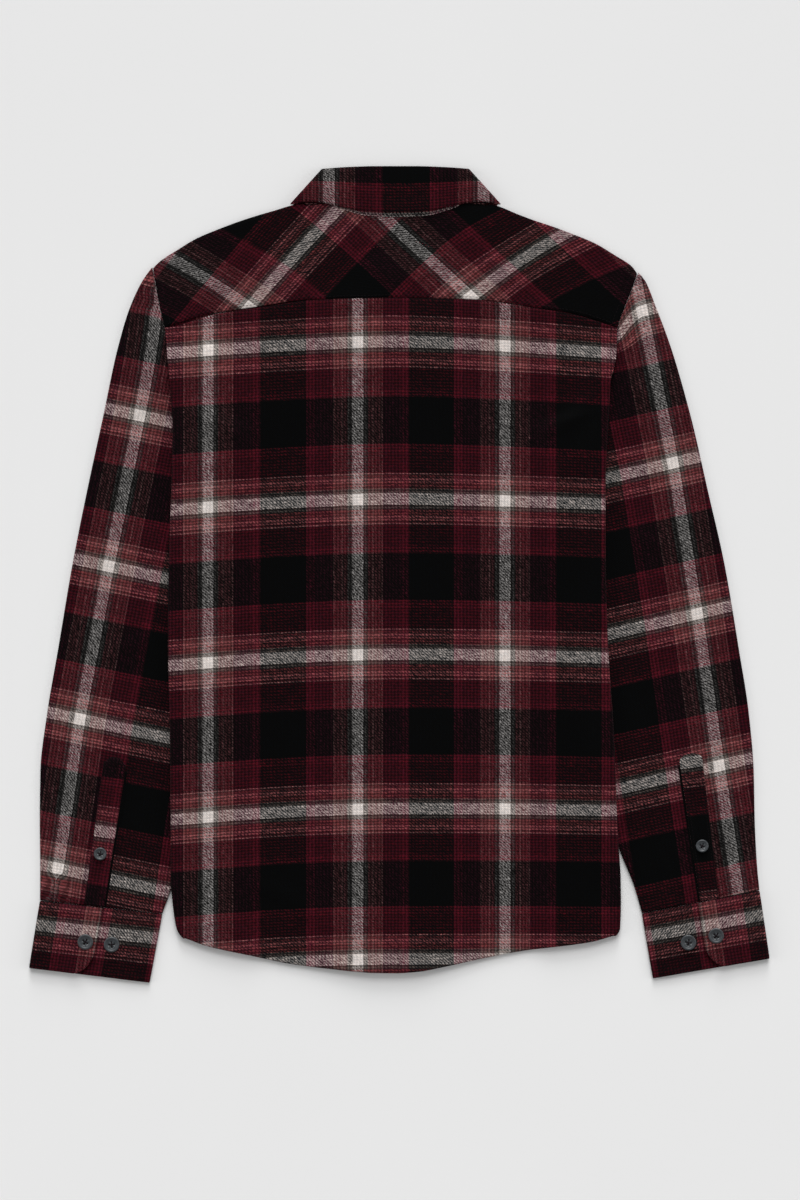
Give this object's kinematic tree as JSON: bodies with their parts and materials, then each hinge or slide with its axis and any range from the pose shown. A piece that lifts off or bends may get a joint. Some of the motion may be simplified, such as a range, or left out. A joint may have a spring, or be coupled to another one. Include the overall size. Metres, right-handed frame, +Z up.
{
  "type": "flannel shirt",
  "caption": "Long-sleeved plaid flannel shirt laid flat on its buttoned front, back up, with folded-down collar, bias yoke, sides folded under and two-button cuffs.",
  "frame": {"origin": "on the surface that the shirt lies on, under the middle of its outline", "axes": "+X to the right seen from above with the collar up, +Y from the hem towards the collar, +Z up away from the surface"},
  "size_m": [0.7254, 0.7993, 0.0085],
  "materials": {
    "flannel": "brushed cotton twill, yarn-dyed plaid in black, burgundy, red, salmon and off-white, matt with a soft nap",
    "button": "dark slate resin, satin, four holes and a raised rim"
  },
  "bodies": {
    "root": {"back": "flannel", "back_yoke": "flannel", "front_left": "flannel", "front_right": "flannel", "front_placket": "flannel", "collar_leaf": "flannel", "collar_stand": "flannel", "sleeve_left": "flannel", "sleeve_right": "flannel", "cuff_left": "flannel", "cuff_right": "flannel", "sleeve_placket_left": "flannel", "sleeve_placket_right": "flannel", "cuff_button_left_1": "button", "cuff_button_left_2": "button", "sleeve_button_left": "button", "cuff_button_right_1": "button", "cuff_button_right_2": "button", "sleeve_button_right": "button", "front_button_1": "button", "front_button_2": "button", "front_button_3": "button", "front_button_4": "button", "front_button_5": "button", "front_button_6": "button", "front_button_7": "button"}
  },
  "joints": []
}
